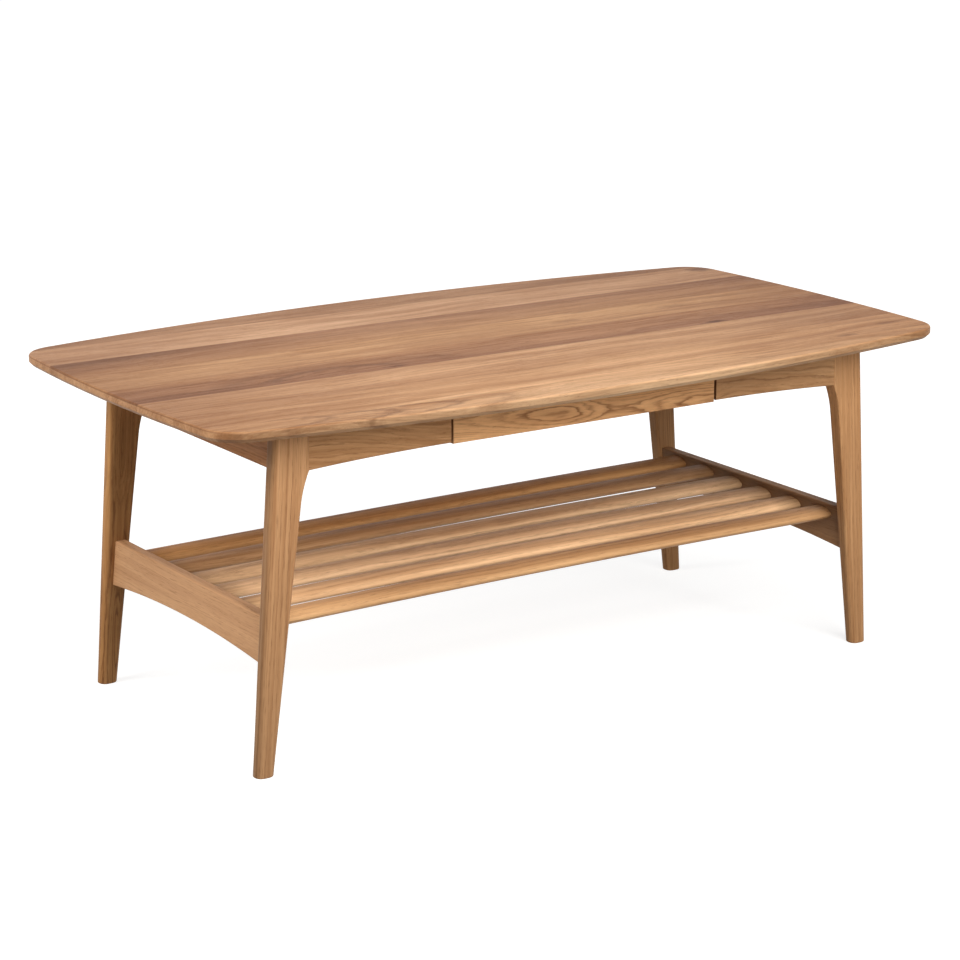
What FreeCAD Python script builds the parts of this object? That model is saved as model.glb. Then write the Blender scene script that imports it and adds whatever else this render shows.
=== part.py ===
import FreeCAD
import Part
import math
import os

# Coffee table in solid oak: a boat-shaped top, splayed legs with haunches, arched aprons,
# one drawer without a handle and a shelf of six oval slats.
# Millimetres. +Z is up, +X runs along the table, and the drawer opens towards -Y.
# The origin is on the floor under the middle of the top.

# Whole table
table_length = 1250.0
table_width = 700.0
table_height = 496.0

# Top: bows are the rise of each edge between its corners
top_thickness = 22.0
top_edge_height = 10.0
top_side_bow = 55.0
top_end_bow = 14.0
top_corner_radius = 57.0
top_undercut_rise = 6.5
top_undercut_width = 30.0
top_arris_radius = 3.0

# Legs: insets are from the widest part of the top to the outer face of a leg
foot_inset = 88.0
head_inset = 122.0
front_inset = 107.5
leg_depth = 23.0
leg_foot_width = 27.5
leg_neck_width = 48.5
leg_outer_radius = 9.0
leg_inner_radius = 5.0
leg_foot_ease = 1.5
haunch_reach = 7.0
haunch_radius = 150.0

# Aprons
apron_thickness = 20.0
apron_setback = 1.0
apron_end_height = 59.5
apron_arch_rise = 6.5
end_apron_thickness = 19.0
end_apron_inset = 11.5
edge_ease = 1.5

# Tenons of the aprons and stretchers
tenon_thickness = 8.0
tenon_shoulder = 12.0
apron_tenon_length = 18.0
end_tenon_length = 13.0
tenon_play = 0.1
mortise_relief = 1.0

# End stretchers
stretcher_top_height = 215.5
stretcher_height = 66.0
stretcher_thickness = 18.0
stretcher_arch_rise = 11.3
stretcher_setback = 3.4
stretcher_top_radius = 3.0

# Shelf slats
slat_count = 6
slat_margin = 18.75
slat_width = 44.0
slat_height = 19.6
slat_drop = 7.0
slat_side_radius = 5.5
slat_tenon_width = 28.0
slat_tenon_height = 6.0
slat_tenon_length = 10.0

# Drawer and the opening in the front apron
drawer_opening = 457.0
drawer_gap = 3.5
drawer_drop = 2.0
drawer_head_gap = 2.0
drawer_front_ease = 1.5
drawer_travel_share = 0.65
drawer_rear_gap = 43.0
drawer_side_thickness = 12.0
drawer_side_height = 36.0
drawer_side_lift = 12.0
drawer_side_gap = 16.0
drawer_housing_depth = 6.0
drawer_back_drop = 4.0
drawer_back_thickness = 12.0
drawer_back_housing = 3.0
drawer_bottom_thickness = 5.0
drawer_bottom_lift = 4.0
drawer_bottom_housing = 5.0
drawer_play = 0.2

# Cross rails, and the runners that the drawer sides ride on
cross_rail_thickness = 18.0
cross_rail_height = 44.0
cross_rail_tongue_length = 8.0
runner_height = 12.0
runner_groove_depth = 6.0
runner_groove_lift = 12.0
runner_setback = 8.0
runner_clearance = 0.5

# Stop block under the top
stop_block_length = 60.0
stop_block_width = 24.0
stop_block_height = 16.0
stop_block_gap = 0.5

# Corner blocks behind the legs
corner_block_reach = 50.0
corner_block_nose = 12.0
corner_block_height = 38.0

# Screws that hold the top down: the bite is what goes into the top
screw_shank_diameter = 5.0
screw_head_diameter = 10.0
screw_head_height = 3.5
screw_play = 0.1
screw_bite = 12.0
rail_screw_margin = 60.0

# Every cut reaches past the face that it opens by this much
overrun = 5.0

# Places that the sizes above lead to
half_length = table_length / 2
half_width = table_width / 2
underside = table_height - top_thickness
leg_face = half_width - front_inset
leg_back = leg_face - leg_depth
apron_face = leg_face - apron_setback
apron_back = apron_face - apron_thickness
apron_middle = (apron_face + apron_back) / 2
apron_end_foot = underside - apron_end_height
apron_foot = apron_end_foot + apron_arch_rise
opening_edge = drawer_opening / 2
end_apron_outer = half_length - head_inset - end_apron_inset
end_apron_inner = end_apron_outer - end_apron_thickness
stretcher_foot = stretcher_top_height - stretcher_height
slat_crown = stretcher_top_height - slat_drop
slat_foot = slat_crown - slat_height
slat_pitch = (2 * (leg_back - slat_margin) - slat_width) / (slat_count - 1)
rail_foot = underside - cross_rail_height
drawer_front_foot = apron_foot - drawer_drop
drawer_side_foot = drawer_front_foot + drawer_side_lift
drawer_side_top = drawer_side_foot + drawer_side_height
drawer_side_outer = opening_edge - drawer_side_gap
drawer_side_inner = drawer_side_outer - drawer_side_thickness
drawer_rear = apron_back - drawer_rear_gap
drawer_travel = drawer_travel_share * (drawer_rear + apron_back)
drawer_back_face = drawer_rear - drawer_back_thickness
drawer_bottom_foot = drawer_side_foot + drawer_bottom_lift
drawer_bottom_top = drawer_bottom_foot + drawer_bottom_thickness
runner_foot = drawer_side_foot + runner_groove_lift
runner_top = runner_foot + runner_height
runner_tip = drawer_side_outer - runner_groove_depth + runner_clearance
runner_front = runner_setback - apron_back
stop_block_rear = drawer_back_face - drawer_travel - stop_block_gap
corner_block_foot = underside - corner_block_height


def vec(x, y, z):
    return FreeCAD.Vector(x, y, z)


def box(x_ends, y_ends, z_ends):
    """Box between two ends on each axis."""
    sizes = [ends[1] - ends[0] for ends in (x_ends, y_ends, z_ends)]
    return Part.makeBox(*sizes, vec(x_ends[0], y_ends[0], z_ends[0]))


def around(middle, width):
    """The two ends of a width that is centred on middle."""
    return (middle - width / 2, middle + width / 2)


def grown(ends, play):
    """The same two ends, moved apart by play at each end."""
    return (ends[0] - play, ends[1] + play)


def line(start, end):
    return Part.makeLine(start, end)


def arc(start, middle, end):
    return Part.Arc(start, middle, end).toShape()


def polygon(points):
    """Edges of the closed polygon through the points."""
    return [line(a, b) for a, b in zip(points, points[1:] + points[:1])]


def prism(edges, travel):
    """Solid that the closed outline of edges sweeps along travel."""
    return Part.Face(Part.Wire(Part.__sortEdges__(edges))).extrude(travel)


def mirror_x(shape):
    return shape.mirror(vec(0, 0, 0), vec(1, 0, 0))


def mirror_y(shape):
    return shape.mirror(vec(0, 0, 0), vec(0, 1, 0))


def is_curved(edge):
    return edge.Curve.TypeId != "Part::GeomLine"


def lies_at(edge, axis, place):
    """Whether the whole edge lies in the plane where the axis has the value place."""
    box_of_edge = edge.BoundBox
    ends = {"x": (box_of_edge.XMin, box_of_edge.XMax),
            "y": (box_of_edge.YMin, box_of_edge.YMax),
            "z": (box_of_edge.ZMin, box_of_edge.ZMax)}[axis]
    return all(math.isclose(end, place, abs_tol=tenon_play / 2) for end in ends)


def eased(shape, radius, wanted):
    """The shape with every edge that wanted picks rounded to the radius."""
    return shape.makeFillet(radius, [edge for edge in shape.Edges if wanted(edge)])


def one_solid(shape):
    """The single clean solid left after cuts and joins."""
    return shape.removeSplitter().Solids[0]


def bevelled(shape, size, wanted):
    """The shape with every edge that wanted picks bevelled by the size."""
    return shape.makeChamfer(size, [edge for edge in shape.Edges if wanted(edge)])


up = vec(0, 0, 1)
both_sides = (1, -1)


def rail_screw_seats():
    """Where the screws through the right cross rail bear, front and back."""
    x = opening_edge + cross_rail_thickness / 2
    y = apron_back - rail_screw_margin
    return [vec(x, y * side, rail_foot) for side in both_sides]


def block_screw_seat():
    """Where the screw through the front right corner block bears."""
    return vec(leg_joint() - corner_block_nose, 2 * corner_block_nose - leg_back, corner_block_foot)


def screw_seats():
    """Where every screw bears, under the cross rails and the corner blocks."""
    block = block_screw_seat()
    found = [vec(seat.x * side, seat.y, seat.z) for side in both_sides for seat in rail_screw_seats()]
    found += [vec(block.x * x_side, block.y * y_side, block.z)
              for x_side in both_sides for y_side in both_sides]
    return found


def screw_length(seat):
    """Length under the head of a screw that bears on seat."""
    return underside - seat.z + screw_bite


def screw(seat):
    """Screw driven upwards, with a hexagonal head below seat."""
    turns = [2 * math.pi * i / 6 for i in range(6)]
    corners = [seat + vec(math.cos(turn), math.sin(turn), 0) * (screw_head_diameter / 2) for turn in turns]
    head = prism(polygon(corners), up * -screw_head_height)
    shank = Part.makeCylinder(screw_shank_diameter / 2, screw_length(seat), seat, up)
    return one_solid(shank.fuse(head))


def drilled(shape, seats):
    """The shape with a hole for the shank of the screw at each seat."""
    radius = screw_shank_diameter / 2 + screw_play
    for seat in seats:
        shape = shape.cut(Part.makeCylinder(radius, screw_length(seat) + mortise_relief, seat, up))
    return shape


def bow_radius(half_chord, bow):
    """Radius of the arc that rises by bow over a chord."""
    return (half_chord ** 2 + bow ** 2) / (2 * bow)


def top_corner():
    """Rounded corner at +X +Y: where it leaves the side, its middle and where it meets the end."""
    side_radius = bow_radius(half_length - top_end_bow, top_side_bow)
    end_radius = bow_radius(half_width - top_side_bow, top_end_bow)
    side_centre = vec(0, half_width - side_radius, 0)
    end_centre = vec(half_length - end_radius, 0, 0)
    to_side = side_radius - top_corner_radius
    to_end = end_radius - top_corner_radius
    between = end_centre - side_centre
    along = (between.Length ** 2 + to_side ** 2 - to_end ** 2) / (2 * between.Length)
    across = math.sqrt(to_side ** 2 - along ** 2)
    between.normalize()
    centre = side_centre + between * along + vec(between.y, -between.x, 0) * across
    on_side = side_centre + (centre - side_centre) * (side_radius / to_side)
    on_end = end_centre + (centre - end_centre) * (end_radius / to_end)
    outward = on_side + on_end - centre * 2
    outward.normalize()
    return on_side, centre + outward * top_corner_radius, on_end


def top_outline(height):
    """Boat-shaped outline of four bows joined by four rounded corners."""
    def at(point, x_sign, y_sign):
        return vec(point.x * x_sign, point.y * y_sign, height)

    on_side, middle, on_end = top_corner()
    edges = []
    for sign in both_sides:
        edges.append(arc(at(on_side, -1, sign), vec(0, half_width * sign, height), at(on_side, 1, sign)))
        edges.append(arc(at(on_end, sign, -1), vec(half_length * sign, 0, height), at(on_end, sign, 1)))
        for other in both_sides:
            edges.append(arc(at(on_side, sign, other), at(middle, sign, other), at(on_end, sign, other)))
    return edges


def table_top():
    """Bowed panel with an eased upper arris, a bevel below its edge and a shallow undercut."""
    def lower_rim():
        return [edge for edge in panel.Edges if lies_at(edge, "z", underside)]

    panel = prism(top_outline(underside), up * top_thickness)
    panel = panel.makeChamfer(top_thickness - top_edge_height, lower_rim())
    panel = panel.makeChamfer(top_undercut_rise * math.sqrt(2), top_undercut_width, lower_rim())
    panel = eased(panel, top_arris_radius, lambda edge: lies_at(edge, "z", table_height))
    return drilled(panel, screw_seats())


def leg_outer(height):
    """Outer edge of a right leg at a height."""
    return half_length - foot_inset - (head_inset - foot_inset) * height / underside


def leg_inner(height):
    """Straight inner edge of a right leg at a height, below the haunch."""
    at_foot = leg_outer(0) - leg_foot_width
    at_neck = leg_outer(apron_end_foot) - leg_neck_width
    return at_foot + (at_neck - at_foot) * height / apron_end_foot


def leg_joint():
    """Where the aprons butt against the head of a right leg."""
    return leg_inner(apron_end_foot) - haunch_reach


def haunch():
    """Arc from the straight inner edge of the leg up to the foot of the apron."""
    foot = vec(leg_inner(0), 0, 0)
    along = vec(leg_inner(apron_end_foot), 0, apron_end_foot) - foot
    along.normalize()
    inward = vec(-along.z, 0, along.x)
    end = vec(leg_joint(), 0, apron_end_foot)
    reach = (end - foot).dot(inward)
    run = math.sqrt(2 * haunch_radius * reach - reach ** 2)
    start = foot + along * ((end - foot).dot(along) - run)
    centre = start + inward * haunch_radius
    half_angle = math.asin(run / haunch_radius) / 2
    middle = (centre + along * (haunch_radius * math.sin(half_angle))
              - inward * (haunch_radius * math.cos(half_angle)))
    return start, middle, end


def leg():
    """Front right leg: splayed and tapered, with a haunch under the apron and rounded corners."""
    start, middle, end = haunch()
    foot_in = vec(leg_inner(0), 0, 0)
    foot_out = vec(leg_outer(0), 0, 0)
    head_out = vec(leg_outer(underside), 0, underside)
    head_in = vec(leg_joint(), 0, underside)
    outline = [line(foot_out, head_out), line(head_out, head_in), line(head_in, end),
               arc(end, middle, start), line(start, foot_in), line(foot_in, foot_out)]

    def outer_corner(edge):
        return edge.BoundBox.ZLength > apron_end_foot

    def inner_corner(edge):
        lies_across = edge.BoundBox.YLength > leg_depth / 2
        return not lies_across and edge.BoundBox.ZMax < underside and not lies_at(edge, "z", 0)

    shape = prism(outline, vec(0, -leg_depth, 0)).translated(vec(0, -leg_back, 0))
    shape = eased(shape, leg_outer_radius, outer_corner)
    shape = eased(shape, leg_inner_radius, inner_corner)
    shape = bevelled(shape, leg_foot_ease, lambda edge: lies_at(edge, "z", 0))
    for mortise in leg_mortises():
        shape = shape.cut(mortise)
    return shape


def apron_tenon_heights():
    return (apron_end_foot + tenon_shoulder, underside - tenon_shoulder)


def stretcher_tenon_heights():
    return (stretcher_foot + tenon_shoulder, stretcher_top_height - tenon_shoulder)


def stretcher_middle(height):
    """Middle of the right stretcher, which leans with the middle of the leg."""
    return (leg_inner(height) + leg_outer(height)) / 2 - stretcher_setback


def stretcher_inner(height):
    """Inner face of the right stretcher at a height."""
    return stretcher_middle(height) - stretcher_thickness / 2


def leaning_block(width, heights, y_ends):
    """Block of a width that leans with the right stretcher, between two heights."""
    low, high = heights
    corners = [vec(stretcher_middle(height) + side * width / 2, y_ends[0], height)
               for side, height in ((-1, low), (1, low), (1, high), (-1, high))]
    return prism(polygon(corners), vec(0, y_ends[1] - y_ends[0], 0))


def leg_mortises():
    """Mortises of the front right leg for its two aprons and its stretcher."""
    end_depth = (-leg_back - end_tenon_length - mortise_relief, overrun - leg_back)
    end_middle = (end_apron_inner + end_apron_outer) / 2
    thick = tenon_thickness + 2 * tenon_play
    return [box((leg_joint() - overrun, leg_joint() + apron_tenon_length + mortise_relief),
                around(-apron_middle, thick), grown(apron_tenon_heights(), tenon_play)),
            box(around(end_middle, thick), end_depth, grown(apron_tenon_heights(), tenon_play)),
            leaning_block(thick, grown(stretcher_tenon_heights(), tenon_play), end_depth)]


def apron_arch(x_sign, y):
    """Lower edge of a long apron from the leg to the edge of the drawer opening."""
    run = leg_joint() - opening_edge
    radius = (run ** 2 + apron_arch_rise ** 2) / (2 * apron_arch_rise)
    half_angle = math.asin(run / radius) / 2
    middle_x = opening_edge + radius * math.sin(half_angle)
    middle_z = apron_foot - radius * (1 - math.cos(half_angle))
    return arc(vec(leg_joint() * x_sign, y, apron_end_foot), vec(middle_x * x_sign, y, middle_z),
               vec(opening_edge * x_sign, y, apron_foot))


def apron_tenon(y_middle):
    """Tenon at the right end of a long apron."""
    return box((leg_joint(), leg_joint() + apron_tenon_length), around(y_middle, tenon_thickness),
               apron_tenon_heights())


def rail_tongue(y_from, y_to):
    """Tongue of the right cross rail, between two places in y."""
    heights = (rail_foot + tenon_shoulder, underside - tenon_shoulder)
    return box(around(opening_edge + cross_rail_thickness / 2, tenon_thickness), (y_from, y_to), heights)


def rail_mortise(front):
    """Mortise for a tongue of the right cross rail in the front or back apron."""
    heights = grown((rail_foot + tenon_shoulder, underside - tenon_shoulder), tenon_play)
    depth = (-apron_back - cross_rail_tongue_length - mortise_relief, overrun - apron_back)
    mortise = box(around(opening_edge + cross_rail_thickness / 2, tenon_thickness + 2 * tenon_play),
                  depth, heights)
    return mortise if front else mirror_y(mortise)


def front_apron():
    """Right front apron, from the leg to the drawer, with an arched lower edge."""
    foot_in = vec(opening_edge, -apron_face, apron_foot)
    head_in = vec(opening_edge, -apron_face, underside)
    head_out = vec(leg_joint(), -apron_face, underside)
    foot_out = vec(leg_joint(), -apron_face, apron_end_foot)
    outline = [line(foot_in, head_in), line(head_in, head_out), line(head_out, foot_out),
               apron_arch(1, -apron_face)]
    shape = prism(outline, vec(0, apron_thickness, 0))
    shape = bevelled(shape, edge_ease, is_curved)
    shape = one_solid(shape.fuse(apron_tenon(-apron_middle)))
    return shape.cut(rail_mortise(True))


def back_apron():
    """Back apron in one length, with the same arch at each leg."""
    heads = [vec(leg_joint() * side, apron_face, underside) for side in both_sides]
    feet = [vec(leg_joint() * side, apron_face, apron_end_foot) for side in both_sides]
    inner = [vec(opening_edge * side, apron_face, apron_foot) for side in both_sides]
    outline = [line(feet[0], heads[0]), line(heads[0], heads[1]), line(heads[1], feet[1]),
               apron_arch(-1, apron_face), line(inner[1], inner[0]), apron_arch(1, apron_face)]
    shape = prism(outline, vec(0, -apron_thickness, 0))
    shape = bevelled(shape, edge_ease, is_curved)
    for side in (lambda piece: piece, mirror_x):
        shape = shape.fuse(side(apron_tenon(apron_middle)))
        shape = shape.cut(side(rail_mortise(False)))
    return one_solid(shape)


def end_apron():
    """Right end apron between the two legs."""
    def long_foot_edge(edge):
        return lies_at(edge, "z", apron_end_foot) and edge.Length > leg_back

    shape = box((end_apron_inner, end_apron_outer), (-leg_back, leg_back), (apron_end_foot, underside))
    shape = bevelled(shape, edge_ease, long_foot_edge)
    reach = leg_back + end_tenon_length
    middle = (end_apron_inner + end_apron_outer) / 2
    return one_solid(shape.fuse(box(around(middle, tenon_thickness), (-reach, reach),
                                    apron_tenon_heights())))


def slat_places():
    """Middle of each slat in y, from front to back."""
    first = -slat_pitch * (slat_count - 1) / 2
    return [first + slat_pitch * i for i in range(slat_count)]


def slat_tenon_heights():
    return around(slat_foot + slat_height / 2, slat_tenon_height)


def slat_tenon_reach():
    """How far the tenon of a slat reaches from the middle of the table."""
    return stretcher_inner(slat_foot + slat_height / 2) + slat_tenon_length


def stretcher_arch():
    """Segment that is cut from under the right stretcher to arch it."""
    ends = [vec(0, side * leg_back, stretcher_foot) for side in both_sides]
    crown = vec(0, 0, stretcher_foot + stretcher_arch_rise)
    return prism([arc(ends[0], crown, ends[1]), line(ends[1], ends[0])], vec(half_length, 0, 0))


def end_stretcher():
    """Right end stretcher: leaning, straight on top, arched below and mortised for the slats."""
    def at_top(edge):
        return edge.Length > leg_back and lies_at(edge, "z", stretcher_top_height)

    def at_arch(edge):
        return edge.Length > leg_back and is_curved(edge)

    shape = leaning_block(stretcher_thickness, (stretcher_foot, stretcher_top_height), (-leg_back, leg_back))
    shape = one_solid(shape.cut(stretcher_arch()))
    shape = eased(shape, stretcher_top_radius, at_top)
    shape = bevelled(shape, edge_ease, at_arch)
    reach = leg_back + end_tenon_length
    shape = one_solid(shape.fuse(leaning_block(tenon_thickness, stretcher_tenon_heights(), (-reach, reach))))
    for place in slat_places():
        shape = shape.cut(box((0, slat_tenon_reach() + mortise_relief),
                              grown(around(place, slat_tenon_width), tenon_play),
                              grown(slat_tenon_heights(), tenon_play)))
    return shape


def slat_room(place):
    """Space of one slat between the leaning inner faces of the two stretchers."""
    corners = [vec(side * stretcher_inner(height), place - slat_width, height)
               for side, height in ((-1, 0), (1, 0), (1, stretcher_top_height), (-1, stretcher_top_height))]
    return prism(polygon(corners), vec(0, 2 * slat_width, 0))


def slat_section(place):
    """Oval of four tangent arcs at the middle of a slat: flat crown and foot, round sides."""
    half_flat = slat_width / 2 - slat_side_radius
    half_height = slat_height / 2
    crown_radius = ((half_flat ** 2 + half_height ** 2 - slat_side_radius ** 2)
                    / (2 * (half_height - slat_side_radius)))
    fall = math.atan2(half_flat, crown_radius - half_height)
    level = slat_foot + half_height
    turn_y = half_flat + slat_side_radius * math.sin(fall)
    turn_z = slat_side_radius * math.cos(fall)
    right_up, right_down, left_down, left_up = (vec(0, place + y * turn_y, level + z * turn_z)
                                                for y, z in ((1, 1), (1, -1), (-1, -1), (-1, 1)))
    return [arc(left_up, vec(0, place, level + half_height), right_up),
            arc(right_up, vec(0, place + slat_width / 2, level), right_down),
            arc(right_down, vec(0, place, level - half_height), left_down),
            arc(left_down, vec(0, place - slat_width / 2, level), left_up)]


def shelf_slat(place):
    """Oval slat between the leaning stretchers, with a tenon at each end."""
    shape = prism(slat_section(place), vec(table_length, 0, 0)).translated(vec(-half_length, 0, 0))
    shape = shape.common(slat_room(place))
    return one_solid(shape.fuse(box((-slat_tenon_reach(), slat_tenon_reach()),
                                    around(place, slat_tenon_width), slat_tenon_heights())))


def cross_rail():
    """Right cross rail under the top, tongued into the front and back aprons."""
    shape = box((opening_edge, opening_edge + cross_rail_thickness), (-apron_back, apron_back),
                (rail_foot, underside))
    reach = apron_back + cross_rail_tongue_length
    shape = one_solid(shape.fuse(rail_tongue(-reach, reach)))
    return drilled(shape, rail_screw_seats())


def drawer_runner():
    """Right runner: a batten on the cross rail that fills the groove of the drawer side."""
    return box((runner_tip, opening_edge), (runner_front, drawer_rear), (runner_foot, runner_top))


def corner_block():
    """Front right corner block, seated on both aprons and the back of the leg."""
    reach_x = leg_joint() - corner_block_reach
    reach_y = corner_block_reach - leg_back
    points = [vec(end_apron_inner, -leg_back, corner_block_foot),
              vec(leg_joint(), -leg_back, corner_block_foot),
              vec(leg_joint(), -apron_back, corner_block_foot),
              vec(reach_x, -apron_back, corner_block_foot),
              vec(reach_x, corner_block_nose - apron_back, corner_block_foot),
              vec(end_apron_inner - corner_block_nose, reach_y, corner_block_foot),
              vec(end_apron_inner, reach_y, corner_block_foot)]
    shape = prism(polygon(points), up * corner_block_height)
    return drilled(shape, [block_screw_seat()])


def stop_block():
    """Block under the top that the back of the drawer meets when the drawer is fully open."""
    return box(around(0, stop_block_length), (stop_block_rear - stop_block_width, stop_block_rear),
               (underside - stop_block_height, underside))


def drawer_front():
    """Drawer front without a handle, housed at the back for the sides and the bottom."""
    half = opening_edge - drawer_gap
    shape = box((-half, half), (-apron_face, -apron_back),
                (drawer_front_foot, underside - drawer_head_gap))
    shape = eased(shape, drawer_front_ease, lambda edge: lies_at(edge, "y", -apron_face))
    housing_depth = (-apron_back - drawer_housing_depth, overrun - apron_back)
    for side in both_sides:
        middle = side * (drawer_side_inner + drawer_side_outer) / 2
        shape = shape.cut(box(around(middle, drawer_side_thickness), housing_depth,
                              (drawer_side_foot, drawer_side_top)))
    return shape.cut(box((-drawer_side_inner, drawer_side_inner), housing_depth,
                         (drawer_bottom_foot, drawer_bottom_top)))


def drawer_side():
    """Right drawer side, grooved outside for the runner and inside for the bottom and the back."""
    front = -apron_back - drawer_housing_depth
    shape = box((drawer_side_inner, drawer_side_outer), (front, drawer_rear),
                (drawer_side_foot, drawer_side_top))
    shape = shape.cut(box((runner_tip - runner_clearance, drawer_side_outer + overrun),
                          (runner_front - runner_clearance, drawer_rear + overrun),
                          (runner_foot - runner_clearance, runner_top)))
    clear = drawer_side_inner - overrun
    shape = shape.cut(box((clear, drawer_side_inner + drawer_bottom_housing),
                          (front - overrun, drawer_rear + overrun),
                          (drawer_bottom_foot, drawer_bottom_top)))
    return shape.cut(box((clear, drawer_side_inner + drawer_back_housing),
                         (drawer_back_face, drawer_rear + overrun),
                         (drawer_bottom_top, drawer_side_top + overrun)))


def drawer_back():
    """Drawer back, standing on the bottom between the two sides."""
    half = drawer_side_inner + drawer_back_housing - drawer_play
    return box((-half, half), (drawer_back_face, drawer_rear),
               (drawer_bottom_top, drawer_side_top - drawer_back_drop))


def drawer_bottom():
    """Thin bottom held in the grooves of the sides and the front."""
    half = drawer_side_inner + drawer_bottom_housing - drawer_play
    shape = box((-half, half), (-apron_back, drawer_rear), (drawer_bottom_foot, drawer_bottom_top))
    lip = box((-drawer_side_inner, drawer_side_inner),
              (drawer_play - apron_back - drawer_housing_depth, -apron_back),
              (drawer_bottom_foot, drawer_bottom_top))
    return one_solid(shape.fuse(lip))


def pair(node, shape):
    """The right-hand piece and its mirror image, as two nodes."""
    return {node + "_right": shape, node + "_left": mirror_x(shape)}


def at_corners(node, shape):
    """The front right piece and its three mirror images, as four nodes."""
    pieces = {}
    for name, row in (("_front", shape), ("_back", mirror_y(shape))):
        pieces.update(pair(node + name, row))
    return pieces


def every_piece():
    """All nodes of the table by name."""
    pieces = {"table_top": table_top()}
    pieces.update(at_corners("leg", leg()))
    pieces.update(pair("front_apron", front_apron()))
    pieces["back_apron"] = back_apron()
    pieces.update(pair("end_apron", end_apron()))
    pieces.update(pair("end_stretcher", end_stretcher()))
    for number, place in enumerate(slat_places(), start=1):
        pieces["shelf_slat_%d" % number] = shelf_slat(place)
    pieces.update(pair("cross_rail", cross_rail()))
    pieces.update(pair("drawer_runner", drawer_runner()))
    pieces.update(at_corners("corner_block", corner_block()))
    pieces["drawer_stop_block"] = stop_block()
    pieces["drawer_front"] = drawer_front()
    pieces.update(pair("drawer_side", drawer_side()))
    pieces["drawer_back"] = drawer_back()
    pieces["drawer_bottom"] = drawer_bottom()
    pieces["table_top_screws"] = Part.makeCompound([screw(seat) for seat in screw_seats()])
    return pieces


os.makedirs("parts", exist_ok=True)
for name, piece in every_piece().items():
    piece.exportStep("parts/" + name + ".step")
    print(name, len(piece.Solids), piece.isValid(), round(piece.Volume))
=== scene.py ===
import math

import bpy
import numpy as np
from mathutils import Euler, Matrix, Vector


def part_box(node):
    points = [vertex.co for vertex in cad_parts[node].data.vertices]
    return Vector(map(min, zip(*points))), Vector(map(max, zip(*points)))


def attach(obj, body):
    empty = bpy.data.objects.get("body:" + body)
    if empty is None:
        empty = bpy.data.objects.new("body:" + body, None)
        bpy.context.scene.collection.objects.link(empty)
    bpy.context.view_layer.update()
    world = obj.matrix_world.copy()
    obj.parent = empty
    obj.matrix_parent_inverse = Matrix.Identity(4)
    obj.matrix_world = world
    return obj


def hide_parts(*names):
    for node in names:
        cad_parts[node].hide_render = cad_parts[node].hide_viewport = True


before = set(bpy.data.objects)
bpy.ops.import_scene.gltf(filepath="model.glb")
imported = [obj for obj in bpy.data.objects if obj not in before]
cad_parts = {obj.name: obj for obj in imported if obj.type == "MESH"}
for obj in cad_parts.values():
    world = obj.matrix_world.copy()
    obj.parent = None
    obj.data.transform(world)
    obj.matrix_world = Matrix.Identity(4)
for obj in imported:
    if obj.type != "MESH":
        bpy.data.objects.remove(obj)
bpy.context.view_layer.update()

bl_info = {
    "name": "Oak Coffee Table",
    "version": (1, 0, 0),
    "blender": (4, 5, 0),
    "location": "View3D > Sidebar > Coffee Table",
    "description": "Finishes an oak coffee table with a drawer and sets up its studio",
    "category": "Object",
}

QUARTER = math.pi / 2
WHITE = (1.0, 1.0, 1.0)
ALONG_X = (0.0, 0.0, 0.0)
ALONG_Y = (0.0, 0.0, QUARTER)
SIDES = {"right": 1.0, "left": -1.0}


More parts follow.
